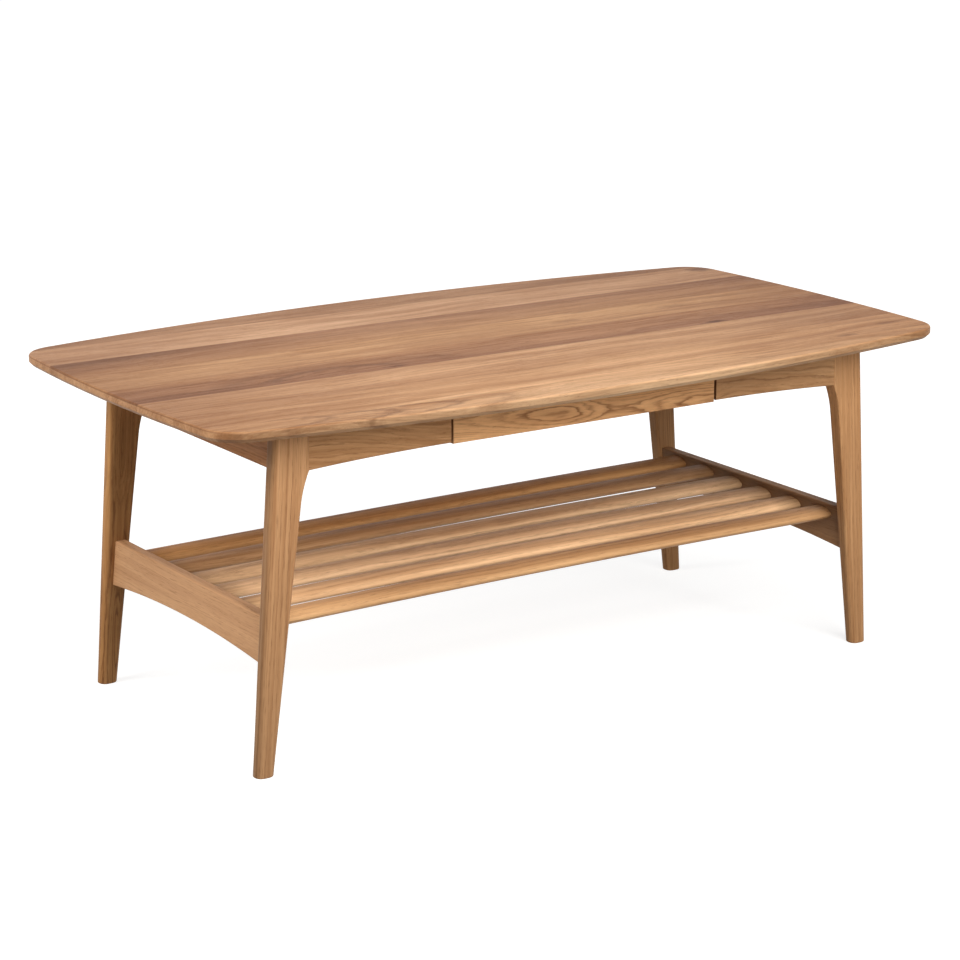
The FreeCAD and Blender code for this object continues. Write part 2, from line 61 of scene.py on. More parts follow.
class Bench:
    """Puts nodes into one node tree and wires them together."""

    def __init__(self, tree):
        self.tree = tree

    def feed(self, socket, value):
        """Links a socket to an output, or sets it to a plain value."""
        if isinstance(value, bpy.types.NodeSocket):
            self.tree.links.new(value, socket)
        else:
            socket.default_value = value

    def node(self, kind, inputs=None, **settings):
        """New node with its settings made and its inputs fed."""
        made = self.tree.nodes.new(kind)
        for name, value in settings.items():
            setattr(made, name, value)
        for key, value in (inputs or {}).items():
            self.feed(made.inputs[key], value)
        return made

    def math(self, operation, *values):
        """Result of a Math node."""
        return self.node("ShaderNodeMath", dict(enumerate(values)), operation=operation).outputs[0]

    def vector(self, operation, *values):
        """Vector that a Vector Math node gives."""
        return self.node("ShaderNodeVectorMath", dict(enumerate(values)), operation=operation).outputs[0]

    def number(self, operation, *values):
        """Number that a Vector Math node gives, such as a length or a dot product."""
        made = self.node("ShaderNodeVectorMath", dict(enumerate(values)), operation=operation)
        return made.outputs["Value"]

    def scale(self, value, share):
        """Vector times a number."""
        return self.node("ShaderNodeVectorMath", {0: value, "Scale": share}, operation="SCALE").outputs[0]

    def split(self, value):
        """The three parts of a vector."""
        return self.node("ShaderNodeSeparateXYZ", {0: value}).outputs

    def join(self, x, y, z):
        """Vector of three parts."""
        return self.node("ShaderNodeCombineXYZ", {0: x, 1: y, 2: z}).outputs[0]

    def between(self, value, low, high, to_low=0.0, to_high=1.0):
        """Value carried from one range to another and held at its ends."""
        places = {"Value": value, "From Min": low, "From Max": high, "To Min": to_low, "To Max": to_high}
        return self.node("ShaderNodeMapRange", places).outputs[0]

    def noise(self, place, detail=0.0, roughness=0.5):
        """Noise with one wave to a unit, from 0 to 1 as a number and as a vector."""
        return self.node("ShaderNodeTexNoise", {"Vector": place, "Scale": 1.0, "Detail": detail,
                                                "Roughness": roughness}).outputs

    def sway(self, place, detail):
        """Noise as a vector that swings half a unit either way."""
        return self.vector("SUBTRACT", self.noise(place, detail)[1], (0.5, 0.5, 0.5))

    def mix(self, share, first, second):
        """Colour between two others."""
        made = self.node("ShaderNodeMix", data_type="RGBA")
        for index, value in ((0, share), (6, first), (7, second)):
            self.feed(made.inputs[index], value)
        return made.outputs[2]

    def ramp(self, share, stops, interpolation="LINEAR"):
        """Colour ramp from pairs of a place and a colour or grey level."""
        made = self.node("ShaderNodeValToRGB", {0: share})
        strip = made.color_ramp
        strip.interpolation = interpolation
        while len(strip.elements) < len(stops):
            strip.elements.new(0.5)
        for element, (place, value) in zip(strip.elements, stops):
            element.position = place
            element.color = (*value, 1.0) if hasattr(value, "__len__") else (value, value, value, 1.0)
        return made.outputs[0]


def new_material(name):
    """Empty node material and a bench on its tree."""
    material = bpy.data.materials.new(name)
    material.use_nodes = True
    material.node_tree.nodes.clear()
    return material, Bench(material.node_tree)


def oak_grain():
    """Makes the node group for the figure inside one sawn oak board, in metres.

    The board's X runs along the grain. Growth rings are tubes about the tree's heart line, which
    wanders and swells along the board, so a saw cut far from it shows lines and one near it shows
    arches and loops. Bands, streaks and pores are noise drawn out along the same flow, and clouds
    are noise that follows the board.
    """
    tree = bpy.data.node_groups.new("oak_grain", "ShaderNodeTree")
    for name, kind, value in (("Place", "NodeSocketVector", (0.0, 0.0, 0.0)),
                              ("Heart", "NodeSocketVector", (0.0, 0.08, 0.05)),
                              ("Wander", "NodeSocketFloat", 0.01),
                              ("Wave", "NodeSocketFloat", 0.010),
                              ("Swell", "NodeSocketFloat", 0.0),
                              ("Swell Length", "NodeSocketFloat", 0.3),
                              ("Swell Place", "NodeSocketFloat", 0.0),
                              ("Swell Tail", "NodeSocketFloat", 1.0),
                              ("Ring", "NodeSocketFloat", 0.003),
                              ("Band", "NodeSocketFloat", 0.012),
                              ("Seed", "NodeSocketFloat", 0.0)):
        tree.interface.new_socket(name, in_out="INPUT", socket_type=kind).default_value = value
    for name in ("Rings", "Bands", "Streaks", "Pores", "Cloud"):
        tree.interface.new_socket(name, in_out="OUTPUT", socket_type="NodeSocketFloat")
    bench = Bench(tree)
    given = bench.node("NodeGroupInput").outputs
    shift = bench.scale((7.31, 3.77, 5.13), given["Seed"])
    crosswise = (0.0, 1.0, 1.0)

    def stretched(place, along, across):
        """Place counted in waves per metre along and across the grain, moved by the seed."""
        return bench.vector("ADD", bench.vector("MULTIPLY", place, (along, across, across)), shift)

    # How far the heart line and the flow about it leave their straight course.
    along = bench.split(given["Place"])[0]
    drift = bench.sway(stretched(bench.join(along, 0.0, 0.0), 2.4, 0.0), 1.0)
    drift = bench.scale(bench.vector("MULTIPLY", drift, crosswise), given["Wander"])
    past = bench.math("SUBTRACT", along, given["Swell Place"])
    half_swing = bench.math("MULTIPLY", given["Swell Length"], 0.5)
    near = bench.math("MINIMUM", bench.math("MAXIMUM", past, 0.0), half_swing)
    far = bench.math("DIVIDE", bench.math("SUBTRACT", past, near), given["Swell Tail"])
    turn = bench.math("DIVIDE", bench.math("ADD", near, far), given["Swell Length"])
    swell = bench.math("COSINE", bench.math("MULTIPLY", turn, 2 * math.pi))
    swell = bench.math("MULTIPLY", swell, given["Swell"])
    wave = bench.vector("MULTIPLY", bench.sway(stretched(given["Place"], 4.5, 17.0), 2.0), crosswise)
    wave = bench.scale(wave, given["Wave"])
    flow = bench.vector("ADD", bench.vector("SUBTRACT", given["Place"], drift), wave)
    flow = bench.vector("SUBTRACT", flow, bench.join(0.0, swell, 0.0))
    from_heart = bench.vector("MULTIPLY", bench.vector("SUBTRACT", flow, given["Heart"]), crosswise)
    radius = bench.number("LENGTH", from_heart)

    # Rings of uneven width and ragged edge: dark where a year's wood starts, then paler.
    count = bench.math("DIVIDE", radius, given["Ring"])
    uneven = bench.noise(bench.join(bench.math("MULTIPLY", count, 0.31), given["Seed"], 0.0))[0]
    ragged = bench.noise(stretched(flow, 26.0, 210.0), 2.0, 0.6)[0]
    count = bench.math("MULTIPLY_ADD", uneven, 2.6, bench.math("MULTIPLY_ADD", ragged, 1.1, count))
    age = bench.math("FRACT", count)
    vigour = bench.node("ShaderNodeTexWhiteNoise", {"W": bench.math("FLOOR", count)},
                        noise_dimensions="1D").outputs[0]
    ring = bench.ramp(age, ((0.0, 0.35), (0.10, 1.0), (0.24, 0.75), (0.42, 0.20), (0.80, 0.0), (1.0, 0.35)))
    ring = bench.math("MULTIPLY", ring, bench.math("MULTIPLY_ADD", vigour, 0.7, 0.3))
    patch = bench.between(bench.noise(stretched(given["Place"], 3.1, 19.0), 1.0)[0], 0.36, 0.62, 0.3, 1.0)
    ring = bench.math("MULTIPLY", ring, patch)

    # Broad bands, fine streaks, short pores and soft clouds.
    band = bench.math("DIVIDE", 1.0, given["Band"])
    bands = bench.vector("MULTIPLY", flow, bench.join(2.3, band, band))
    bands = bench.noise(bench.vector("ADD", bands, shift), 2.0, 0.5)[0]
    streaks = bench.noise(stretched(flow, 7.0, 430.0), 2.0, 0.6)[0]
    dash = bench.noise(stretched(flow, 60.0, 2100.0), 0.0)[0]
    early = bench.between(age, 0.0, 0.45, 1.0, 0.25)
    pores = bench.math("MULTIPLY", bench.between(dash, 0.57, 0.72), early)
    cloud = bench.noise(stretched(given["Place"], 2.2, 9.0), 1.0)[0]
    out = bench.node("NodeGroupOutput")
    for name, value in (("Rings", ring), ("Bands", bands), ("Streaks", streaks), ("Pores", pores),
                        ("Cloud", cloud)):
        bench.feed(out.inputs[name], value)


class OakFinish(bpy.types.PropertyGroup):
    """Colours and grain of the oiled oak."""

    pale: bpy.props.FloatVectorProperty(
        name="Pale wood", description="Oak between two dark growth lines", subtype="COLOR",
        size=3, min=0.0, max=1.0, default=(0.715, 0.402, 0.210))
    warm: bpy.props.FloatVectorProperty(
        name="Warm wood", description="Darker streaks of the oiled oak", subtype="COLOR",
        size=3, min=0.0, max=1.0, default=(0.405, 0.190, 0.083))
    dark: bpy.props.FloatVectorProperty(
        name="Dark grain", description="Growth lines and open pores", subtype="COLOR",
        size=3, min=0.0, max=1.0, default=(0.200, 0.083, 0.034))
    ring: bpy.props.FloatProperty(
        name="Ring spacing", description="Usual distance between two growth rings",
        unit="LENGTH", min=0.001, max=0.02, default=0.0036)
    contrast: bpy.props.FloatProperty(
        name="Ring contrast", description="How far a growth line goes to the dark colour",
        subtype="FACTOR", min=0.0, max=1.0, default=0.6)
    end_grain: bpy.props.FloatProperty(
        name="End grain", description="How far sawn ends go to the dark colour",
        subtype="FACTOR", min=0.0, max=1.0, default=0.75)
    roughness: bpy.props.FloatProperty(
        name="Oil roughness", description="Roughness of the oiled surface",
        subtype="FACTOR", min=0.0, max=1.0, default=0.52)
    sheen: bpy.props.FloatProperty(
        name="Oil shine", description="Strength of the oil's reflections",
        subtype="FACTOR", min=0.0, max=1.0, default=0.15)
    relief: bpy.props.FloatProperty(
        name="Pore depth", description="Depth of the open pores",
        unit="LENGTH", min=0.0, max=0.002, default=0.0003)


class LegShape(bpy.types.PropertyGroup):
    """Outline and rounding of one leg."""

    head_inset: bpy.props.FloatProperty(
        name="Head inset", description="From the end of the top to the outside of a leg's head",
        unit="LENGTH", default=0.122)
    foot_width: bpy.props.FloatProperty(
        name="Foot width", description="Width of the leg at the floor", unit="LENGTH", default=0.0275)
    neck_width: bpy.props.FloatProperty(
        name="Neck width", description="Width at the apron's foot, without the haunch", unit="LENGTH",
        default=0.0485)
    haunch_reach: bpy.props.FloatProperty(
        name="Haunch reach", description="How far the haunch swings out to the apron", unit="LENGTH",
        default=0.007)
    haunch_radius: bpy.props.FloatProperty(
        name="Haunch radius", description="Radius of the haunch's sweep", unit="LENGTH", default=0.150)
    foot_round: bpy.props.FloatProperty(
        name="Foot rounding", description="Radius of all four long edges at the floor", unit="LENGTH",
        default=0.0105)
    head_round: bpy.props.FloatProperty(
        name="Head rounding", description="Radius of the two outer edges at the head", unit="LENGTH",
        default=0.0070)
    neck_round: bpy.props.FloatProperty(
        name="Neck rounding", description="Radius of the two inner edges at the apron", unit="LENGTH",
        default=0.0020)
    foot_ease: bpy.props.FloatProperty(
        name="Foot ease", description="Quarter round along the foot's rim", unit="LENGTH", default=0.0015)


class ShelfShape(bpy.types.PropertyGroup):
    """Bow of the shelf's oval slats."""

    front_bow: bpy.props.FloatProperty(
        name="Front bow", description="How far the front slat arches up in its middle", unit="LENGTH",
        default=0.0040)
    back_bow: bpy.props.FloatProperty(
        name="Back bow", description="How far the back slat arches up in its middle", unit="LENGTH",
        default=0.0018)
    stretcher_thickness: bpy.props.FloatProperty(
        name="Stretcher thickness", description="Thickness of the leaning end stretchers", unit="LENGTH",
        default=0.018)


class StageSettings(bpy.types.PropertyGroup):
    """Floor, light and camera."""

    floor: bpy.props.FloatVectorProperty(
        name="Floor colour", description="Colour of the pale floor", subtype="COLOR",
        size=3, min=0.0, max=1.0, default=(0.42, 0.42, 0.41))
    floor_glow: bpy.props.FloatProperty(
        name="Floor whiteness", description="Share of white that the floor shows in a shadow",
        subtype="FACTOR", min=0.0, max=1.0, default=0.82)
    front_power: bpy.props.FloatProperty(
        name="Front light", description="Power of the large light in front",
        unit="POWER", min=0.0, default=200.0)
    front_place: bpy.props.FloatVectorProperty(
        name="Front light place", description="Where the light in front stands", subtype="TRANSLATION",
        unit="LENGTH", size=3, default=(-0.1, -3.7, 2.6))
    front_size: bpy.props.FloatProperty(
        name="Front light size", description="Side of the square light in front",
        unit="LENGTH", min=0.1, default=3.0)
    side_power: bpy.props.FloatProperty(
        name="Side light", description="Power of the large light at the left",
        unit="POWER", min=0.0, default=130.0)
    side_place: bpy.props.FloatVectorProperty(
        name="Side light place", description="Where the light at the left stands", subtype="TRANSLATION",
        unit="LENGTH", size=3, default=(-3.6, 0.5, 2.7))
    side_size: bpy.props.FloatProperty(
        name="Side light size", description="Side of the square light at the left",
        unit="LENGTH", min=0.1, default=2.4)
    sky: bpy.props.FloatProperty(
        name="Sky strength", description="Even light from all round", min=0.0, default=0.08)
    eye: bpy.props.FloatVectorProperty(
        name="Camera place", description="Where the camera stands", subtype="TRANSLATION",
        unit="LENGTH", size=3, default=(-2.2445, -3.3002, 1.3488))
    target: bpy.props.FloatVectorProperty(
        name="Camera target", description="Point in the middle of the picture", subtype="TRANSLATION",
        unit="LENGTH", size=3, default=(-0.0006, 0.0200, 0.2770))
    roll: bpy.props.FloatProperty(
        name="Camera roll", description="Turn of the camera about its line of sight",
        subtype="ANGLE", default=math.radians(0.19))
    lens: bpy.props.FloatProperty(
        name="Lens", description="Focal length on a 36 mm wide sensor, in millimetres",
        unit="CAMERA", min=20.0, default=104.72)
    lens_shift: bpy.props.FloatVectorProperty(
        name="Lens shift", description="Shift to the right and up, in shares of the picture's width",
        size=2, precision=5, default=(-0.00275, 0.0002))


def sawn(bench, inputs):
    """Figure that the grain group gives for its inputs."""
    return bench.node("ShaderNodeGroup", inputs, node_tree=bpy.data.node_groups["oak_grain"]).outputs


def stained(bench, tone):
    """The oak's pale, warm and dark colours under a tone."""
    finish = bpy.context.scene.oak_finish
    return [bench.vector("MULTIPLY", tuple(colour), tone)
            for colour in (finish.pale, finish.warm, finish.dark)]


# How far a face has to look along the grain, to one side or up, for the first and for the full tone of
# a sawn end, or of the painted light and shade on a flank or on top.
END_FACING = (0.75, 0.95)
FLANK_FACING = (0.3, 0.9)
CROWN_FACING = (0.55, 0.98)

# Share of a board's half length at which the painted shade at its ends begins.
END_STRETCH = 0.88


def oak(node, seed, turn=ALONG_X, tone=WHITE, heart=(0.10, 0.06), wander=0.012, wave=0.010,
        swell=(0.0, 0.3, 0.0, 1.0), ring=1.0, band=0.012, contrast=1.0, streak=1.0, foot=1.0,
        flank_paint=(1.0, 1.0), flank_paint_fade=0.0, top_light_paint=1.0, ends=WHITE, front=WHITE):
    """Oiled oak for one board, whose own axes stand at the CAD node's middle and are turned.

    Heart is the heart line's place across the board. Wander and wave are how far the heart line and
    the flow about it stray. Swell is the heart line's swing, the length and place of a swing, and how
    much longer the swings are outside the first half after that place. Ring and contrast are in shares
    of the usual spacing and contrast, band is the width of the broad streaks and streak their strength.
    Foot is painted shade towards the board's low end. The pair of side tones is painted light and shade
    on its left and right faces, and the fade is the height over which that comes in. The tone on top is
    painted light and shade on faces that look up. Ends is painted shadow near both ends, and front is
    painted light on faces that look to the front.
    """
    finish = bpy.context.scene.oak_finish
    material, bench = new_material("oak_" + node)
    low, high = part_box(node)
    seen = bench.node("ShaderNodeTexCoord").outputs
    place = bench.node("ShaderNodeMapping", {"Vector": seen["Object"], "Location": (low + high) / 2,
                                             "Rotation": turn}, vector_type="TEXTURE").outputs[0]
    grain = sawn(bench, {"Place": place, "Heart": (0.0, *heart), "Wander": wander, "Wave": wave,
                         "Swell": swell[0], "Swell Length": swell[1], "Swell Place": swell[2],
                         "Swell Tail": swell[3], "Ring": finish.ring * ring, "Band": band, "Seed": seed})
    axis = Euler(turn).to_matrix() @ Vector((1.0, 0.0, 0.0))
    lengthwise = bench.math("ABSOLUTE", bench.number("DOT_PRODUCT", seen["Normal"], axis))
    end_grain = bench.between(lengthwise, *END_FACING)
    along, _, _ = bench.split(place)
    _, _, height = bench.split(seen["Object"])
    to_right, to_back, upward = bench.split(seen["Normal"])
    half = max(high - low) / 2
    tones = []
    # Painted shade towards the board's low end.
    if foot != 1.0:
        tones.append(bench.between(along, -half, half, foot, 1.0))
    # Painted light and shade on the left and right faces, coming in over the fade's height.
    for way, flank in zip((-1.0, 1.0), flank_paint):
        if flank != 1.0:
            if flank_paint_fade:
                flank = bench.between(height, low.z, low.z + flank_paint_fade, 1.0, flank)
            sideways = bench.math("MULTIPLY", to_right, way)
            tones.append(bench.between(sideways, *FLANK_FACING, 1.0, flank))
    # Painted light and shade on faces that look up.
    if top_light_paint != 1.0:
        tones.append(bench.between(upward, *CROWN_FACING, 1.0, top_light_paint))
    # Painted shadow near both ends and painted light on faces that look to the front.
    end_shade_share = bench.between(bench.math("ABSOLUTE", along), END_STRETCH * half, half)
    front_light_share = bench.between(to_back, 0.0, -1.0)
    for share, tint in ((end_shade_share, ends), (front_light_share, front)):
        if tint != WHITE:
            tones.append(bench.mix(share, (*WHITE, 1.0), (*tint, 1.0)))
    colours = stained(bench, tone)
    for part in tones:
        colours = [bench.vector("MULTIPLY", colour, part) for colour in colours]
    finish_oak(bench, grain, colours, finish.contrast * contrast, streak, end_grain)
    return material


def finish_oak(bench, grain, colours, contrast, streak, end_grain=0.0, marks=0.0):
    """Colour, roughness and relief of oak from the figure that grain gives.

    End grain drinks more oil, so it is darker. Marks are knots and stains, and on the top also a painted
    shadow line under the upper arris of both ends.
    """
    finish = bpy.context.scene.oak_finish
    pale, warm, dark = colours
    bands = bench.between(grain["Bands"], 0.36, 0.64)
    fine = bench.between(grain["Streaks"], 0.32, 0.68)
    cloud = bench.between(grain["Cloud"], 0.34, 0.66)

    # Bands, fine streaks and clouds share the way from pale to warm wood. Dark wood then lies on top.
    depth = bench.math("MULTIPLY", bands, 0.45 * streak)
    depth = bench.math("MULTIPLY_ADD", fine, 0.30 * streak, depth)
    depth = bench.math("MULTIPLY_ADD", cloud, 0.25, depth)
    colour = bench.mix(depth, pale, warm)
    lines = bench.math("MULTIPLY", grain["Rings"], contrast)
    pores = bench.math("MULTIPLY", grain["Pores"], 0.55)
    sawn_end = bench.math("MULTIPLY", end_grain, finish.end_grain)
    for share in (lines, pores, sawn_end, marks):
        colour = bench.mix(share, colour, dark)

    # Streaks and pores are a little duller, and growth lines and pores lie lower than the rest.
    rough = bench.math("MULTIPLY_ADD", fine, 0.10, finish.roughness - 0.05)
    rough = bench.math("MULTIPLY_ADD", grain["Pores"], 0.25, rough)
    hollow = bench.math("MULTIPLY_ADD", grain["Rings"], 0.3, grain["Pores"])
    height = bench.math("SUBTRACT", bench.math("MULTIPLY", fine, 0.25), hollow)
    bump = bench.node("ShaderNodeBump", {"Strength": 0.6, "Distance": finish.relief, "Height": height})
    surface = bench.node("ShaderNodeBsdfPrincipled", {"Base Color": colour, "Roughness": rough,
                                                      "Normal": bump.outputs[0]})
    surface.inputs["Specular IOR Level"].default_value = finish.sheen
    bench.node("ShaderNodeOutputMaterial", {"Surface": surface.outputs[0]})


def dress(node, material):
    """Gives a CAD node its material."""
    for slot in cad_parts[node].material_slots:
        slot.material = material


def skin(name, rings, node, material):
    """Closed mesh over rings of points, one row per step along the piece, that stands for a CAD node.

    Neighbouring points of two rows make a four-sided face, and the first and last rows are caps.
    """
    rows, points, _ = rings.shape
    index = np.arange(rows * points).reshape(rows, points)
    ahead = np.roll(index, -1, axis=1)
    sides = np.stack((index[:-1], ahead[:-1], ahead[1:], index[1:]), axis=-1).reshape(-1, 4)
    faces = sides.tolist() + [index[0, ::-1].tolist(), index[-1].tolist()]
    mesh = bpy.data.meshes.new(name)
    mesh.from_pydata(rings.reshape(-1, 3).tolist(), [], faces)
    mesh.shade_smooth()
    for cap in mesh.polygons[len(sides):]:
        cap.use_smooth = False
    mesh.materials.append(material)
    piece = bpy.data.objects.new(name, mesh)
    bpy.context.scene.collection.objects.link(piece)
    even = piece.modifiers.new("even_shading", "WEIGHTED_NORMAL")
    even.keep_sharp = True
    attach(piece, "frame")
    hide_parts(node)


# Each stave's front edge behind the top's, its tone there and at its back edge, its heart line's place
# across the top and below it as shares of the width and of HEART_DEPTH, and its seed.
STAVES = ((0.0, (1.21, 1.33, 1.42), (1.24, 1.31, 1.33), 0.055, 0.34, 0.13),
          (0.0745, (1.10, 1.12, 1.11), (1.08, 1.10, 1.10), 0.62, 0.90, 0.71),
          (0.1655, (1.00, 1.00, 1.00), (1.08, 1.12, 1.17), 0.15, 0.80, 0.34),
          (0.2590, (0.55, 0.46, 0.44), (0.83, 0.76, 0.70), 0.43, 0.30, 0.92),
          (0.3450, (0.94, 0.92, 0.88), (1.07, 1.09, 1.05), 0.85, 1.00, 0.05),
          (0.4350, (0.92, 0.89, 0.84), (0.64, 0.57, 0.56), 0.52, 0.55, 0.58),
          (0.5320, (1.15, 1.23, 1.40), (1.13, 1.21, 1.37), 0.10, 0.95, 0.83),
          (0.6320, (0.78, 0.76, 0.78), (0.75, 0.73, 0.75), 0.74, 0.75, 0.27))
HEART_DEPTH = 0.14
STAVE_BRIGHTNESS = 1.07

# Width over which a stave's tone passes into the next one's.
GLUE_LINE = 0.0012

# Share of the staves' tone that the ramp holds, so that no colour on the ramp is above one.
RAMP_SHARE = 0.5

# Soft ovals on the top, as the middle's two places, half length, half width and depth of colour.
BOLD_PATCHES = ((-0.40, -0.308, 0.26, 0.050, 1.0), (-0.30, -0.045, 0.17, 0.05, 0.5))
KNOTS = ((0.350, -0.085, 0.034, 0.009, 0.95), (-0.215, -0.081, 0.032, 0.008, 0.8),
         (0.450, -0.268, 0.026, 0.009, 0.6), (0.562, -0.232, 0.030, 0.010, 0.6),
         (0.596, 0.262, 0.042, 0.026, 0.9), (0.165, 0.040, 0.036, 0.012, 0.4),
         (0.372, 0.044, 0.044, 0.014, 0.35), (0.225, 0.083, 0.050, 0.008, 0.45),
         (-0.54, 0.165, 0.22, 0.035, 0.30), (0.50, -0.135, 0.20, 0.060, 0.22))
ARCHES = ((-0.305, -0.090, 0.105, 0.046, 0.60), (-0.30, -0.098, 0.19, 0.076, 0.30))
CHEVRONS = ((-0.545, -0.288, 0.095, 0.022, 0.55), (-0.450, -0.304, 0.095, 0.024, 0.75),
            (-0.360, -0.308, 0.100, 0.022, 0.70), (-0.300, -0.314, 0.120, 0.034, 0.35))
DARK_CORNER = ((-0.600, -0.300, 0.035, 0.030, 0.6),)

# Tone along the top from its left end, as a share of the length and a tint or grey level.
LENGTHWISE_TONES = ((0.0, (0.64, 0.58, 0.53)), (0.32, 1.0), (0.64, 1.0), (1.0, (0.75, 0.68, 0.61)))

# The rim's painted shade along the sides and on the underside, its colour across the ends, and how far
# below the upper face they begin and are full. A painted shadow line follows the upper arris of both ends
# at its own depth.
SIDE_RIM_SHADE = (0.68, 0.71, 0.72)
END_RIM = (0.40, 0.39, 0.37, 1.0)
RIM_SHADE_DEPTH = (0.0008, 0.0032)
ARRIS_SHADOW_DEPTH = 0.0018
ARRIS_SHADOW_FADE = (0.0004, 0.0012)


class COFFEETABLE_OT_top(bpy.types.Operator):
    """Finish the boat-shaped top as eight glued staves of differing oak"""

    bl_idname = "coffee_table.top"
    bl_label = "Top"

    def execute(self, context):
        finish = context.scene.oak_finish
        material, bench = new_material("oak_top")
        seen = bench.node("ShaderNodeTexCoord").outputs
        place = seen["Object"]
        x, y, z = bench.split(place)
        low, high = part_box("table_top")
        width = high.y - low.y
        share = bench.math("DIVIDE", bench.math("SUBTRACT", y, low.y), width)
        starts = [stave[0] / width for stave in STAVES]
        hearts, depths, seeds = (bench.ramp(share, list(zip(starts, column)), "CONSTANT")
                                 for column in list(zip(*STAVES))[3:])
        # The front stave's heart line dips to the right, so that its rings run out as arches.
        dip, joint = -0.06, 0.001
        slope = bench.between(share, starts[1], starts[1] + joint, dip, 0.0)
        level = bench.math("MULTIPLY_ADD", depths, -HEART_DEPTH, high.z)
        heart = bench.join(0.0, bench.math("MULTIPLY_ADD", hearts, width, low.y),
                           bench.math("MULTIPLY_ADD", slope, x, level))
        grain = sawn(bench, {"Place": place, "Heart": heart, "Wander": 0.05, "Wave": 0.017, "Band": 0.022,
                             "Ring": finish.ring * 1.5, "Seed": bench.math("MULTIPLY", seeds, 10.0)})
        bold = self.ovals(bench, place, BOLD_PATCHES)
        lines = bench.math("MULTIPLY_ADD", bold, 0.45, finish.contrast * 0.65)
        below = bench.math("SUBTRACT", high.z, z)
        # Painted shade on the sides' edge band and the underside, from just below the upper arris down.
        rim = bench.between(below, *RIM_SHADE_DEPTH)
        # Painted shadow line just under the upper arris of both ends.
        off_arris = bench.math("ABSOLUTE", bench.math("SUBTRACT", below, ARRIS_SHADOW_DEPTH))
        arris_shadow = bench.between(off_arris, *ARRIS_SHADOW_FADE, 0.6, 0.0)
        end_face = bench.math("ABSOLUTE", bench.split(seen["Normal"])[0])
        marks = self.ovals(bench, place, KNOTS)
        for more in (bench.math("MULTIPLY", self.ovals(bench, place, DARK_CORNER), rim),
                     self.ovals(bench, place, ARCHES, towards=(0.0, 1.0, 0.0)),
                     self.ovals(bench, place, CHEVRONS, towards=(1.0, 0.0, 0.0)),
                     bench.math("MULTIPLY", arris_shadow, end_face)):
            marks = bench.math("MAXIMUM", marks, more)
        lengthwise = bench.ramp(bench.between(x, low.x, high.x), LENGTHWISE_TONES)
        tone = bench.vector("MULTIPLY", self.stave_tone(bench, share, width), lengthwise)
        # The rim's painted shade along the sides; the ends take their own colour.
        side_rim_shade = bench.vector("MULTIPLY", tone, SIDE_RIM_SHADE)
        tone = bench.mix(rim, tone, bench.mix(end_face, side_rim_shade, END_RIM))
        colours = stained(bench, bench.scale(tone, STAVE_BRIGHTNESS / RAMP_SHARE))
        finish_oak(bench, grain, colours, lines, 1.3, marks=marks)
        dress("table_top", material)
        return {"FINISHED"}

    def stave_tone(self, bench, share, width):
        """RAMP_SHARE of the staves' tone across the top."""
        ends = [stave[0] for stave in STAVES[1:]] + [width]
        stops = []
        for (start, front, back, *_), end in zip(STAVES, ends):
            for edge, tone in ((start, front), (end - GLUE_LINE, back)):
                stops.append((edge / width, [RAMP_SHARE * part for part in tone]))
        return bench.ramp(share, stops)

    def ovals(self, bench, place, spots, towards=None):
        """Greatest depth of soft ovals, each given as its middle, half length, half width and depth.

        With a direction, only the half of each oval's outline that lies there is marked.
        """
        core, edge, line_width = 0.3, 0.9, 0.2
        ruffle = bench.sway(bench.scale(place, 70.0), 2.0)
        place = bench.vector("ADD", place, bench.vector("MULTIPLY", ruffle, (0.030, 0.010, 0.0)))
        depth = 0.0
        for x, y, length, width, most in spots:
            away = bench.vector("MULTIPLY", bench.vector("SUBTRACT", place, (x, y, 0.0)),
                                (1.0 / length, 1.0 / width, 0.0))
            reach = bench.number("LENGTH", away)
            if towards:
                off_line = bench.math("ABSOLUTE", bench.math("SUBTRACT", reach, 1.0))
                ahead = bench.between(bench.number("DOT_PRODUCT", away, towards), 0.0, 0.5)
                spot = bench.math("MULTIPLY", bench.between(off_line, 0.0, line_width, most, 0.0), ahead)
            else:
                spot = bench.between(reach, core, edge, most, 0.0)
            depth = bench.math("MAXIMUM", spot, depth)
        return depth


